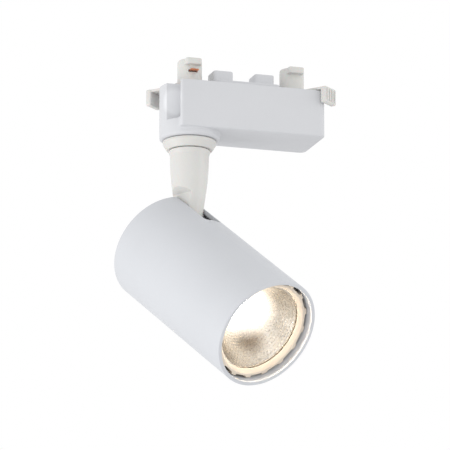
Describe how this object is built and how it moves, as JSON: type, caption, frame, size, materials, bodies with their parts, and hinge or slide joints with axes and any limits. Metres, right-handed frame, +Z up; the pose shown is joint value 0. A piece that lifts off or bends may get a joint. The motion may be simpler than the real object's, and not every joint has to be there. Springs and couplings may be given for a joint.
{
  "type": "track spotlight",
  "caption": "Barrel spotlight on a tapered swivelling stem, under an adapter box whose two turn-to-lock turrets plug into a lighting track and feed its built-in driver.",
  "frame": {"origin": "centre of the adapter's seat pad, the flat that rests against the underside of the track", "axes": "+X along the track, +Z up into the track, +Y across the track; the beam points down and towards -Y and +X"},
  "size_m": [0.1044, 0.1025, 0.1661],
  "materials": {
    "white_paint": "matt powder coat",
    "housing_plastic": "fine moulded texture",
    "ivory_plastic": "satin moulded",
    "bezel_plastic": "satin moulded",
    "zinc_steel": "zinc plated",
    "copper": "bare rolled copper strip",
    "sink_aluminium": "bare cast",
    "mirror_aluminium": "hammered vacuum-metallised",
    "board_green": "solder mask",
    "cob_ceramic": "matt",
    "phosphor": "glowing phosphor disc",
    "ferrite": "sintered",
    "winding_tape": "wound tape",
    "capacitor_sleeve": "shrunk sleeve",
    "chip_black": "moulded",
    "fuse_body": "lacquered",
    "pom": "machined",
    "holder_plastic": "moulded",
    "red_lead": "extruded insulation",
    "black_lead": "extruded insulation"
  },
  "bodies": {
    "adapter": {"adapter_housing": "housing_plastic", "adapter_cover": "housing_plastic", "cover_screw_1": "zinc_steel", "cover_screw_2": "zinc_steel", "cover_screw_3": "zinc_steel", "cover_screw_4": "zinc_steel", "driver_board": "board_green", "transformer_core": "ferrite", "transformer_winding": "winding_tape", "input_capacitor": "capacitor_sleeve", "output_capacitor": "capacitor_sleeve", "bridge_rectifier": "chip_black", "driver_chip": "chip_black", "fuse_resistor": "fuse_body", "choke_coil": "ferrite", "live_lead": "red_lead", "neutral_lead": "black_lead", "output_lead_red": "red_lead", "output_lead_black": "black_lead", "friction_ring": "pom"},
    "contact_lever": {"contact_turret": "ivory_plastic", "contact_turret_clip": "zinc_steel", "live_contact": "copper", "neutral_contact": "copper"},
    "lock_lever": {"lock_turret": "ivory_plastic", "lock_turret_clip": "zinc_steel"},
    "stem": {"swivel_tube": "zinc_steel", "stop_washer": "zinc_steel", "swivel_nut": "zinc_steel", "swivel_collar": "ivory_plastic", "stem_arm": "ivory_plastic", "stem_lead_red": "red_lead", "stem_lead_black": "black_lead"},
    "head": {"head_barrel": "white_paint", "rear_cap": "white_paint", "cap_screw_1": "zinc_steel", "cap_screw_2": "zinc_steel", "heat_sink": "sink_aluminium", "tilt_bracket": "zinc_steel", "bracket_screw_1": "zinc_steel", "bracket_screw_2": "zinc_steel", "tilt_bolt": "zinc_steel", "tilt_nut": "zinc_steel", "tilt_washer_left": "pom", "tilt_washer_right": "pom", "cob_board": "cob_ceramic", "cob_emitter": "phosphor", "cob_holder": "holder_plastic", "holder_screw_1": "zinc_steel", "holder_screw_2": "zinc_steel", "reflector": "mirror_aluminium", "bezel_ring": "bezel_plastic", "head_lead_red": "red_lead", "head_lead_black": "black_lead"}
  },
  "joints": [
    {"name": "contact_lever_turn", "type": "hinge", "parent": "adapter", "child": "contact_lever", "pos_m": [-0.0262, 0, 0], "axis": [0, 0, 1], "range_deg": [0, 90]},
    {"name": "lock_lever_turn", "type": "hinge", "parent": "adapter", "child": "lock_lever", "pos_m": [0.0262, 0, 0], "axis": [0, 0, 1], "range_deg": [0, 90]},
    {"name": "pan", "type": "hinge", "parent": "adapter", "child": "stem", "pos_m": [-0.0262, 0, -0.0927], "axis": [0, 0, 1], "range_deg": [-170, 170]},
    {"name": "tilt", "type": "hinge", "parent": "stem", "child": "head", "pos_m": [-0.0262, 0, -0.0927], "axis": [0.891, 0.454, 0], "range_deg": [-23, 53]}
  ]
}
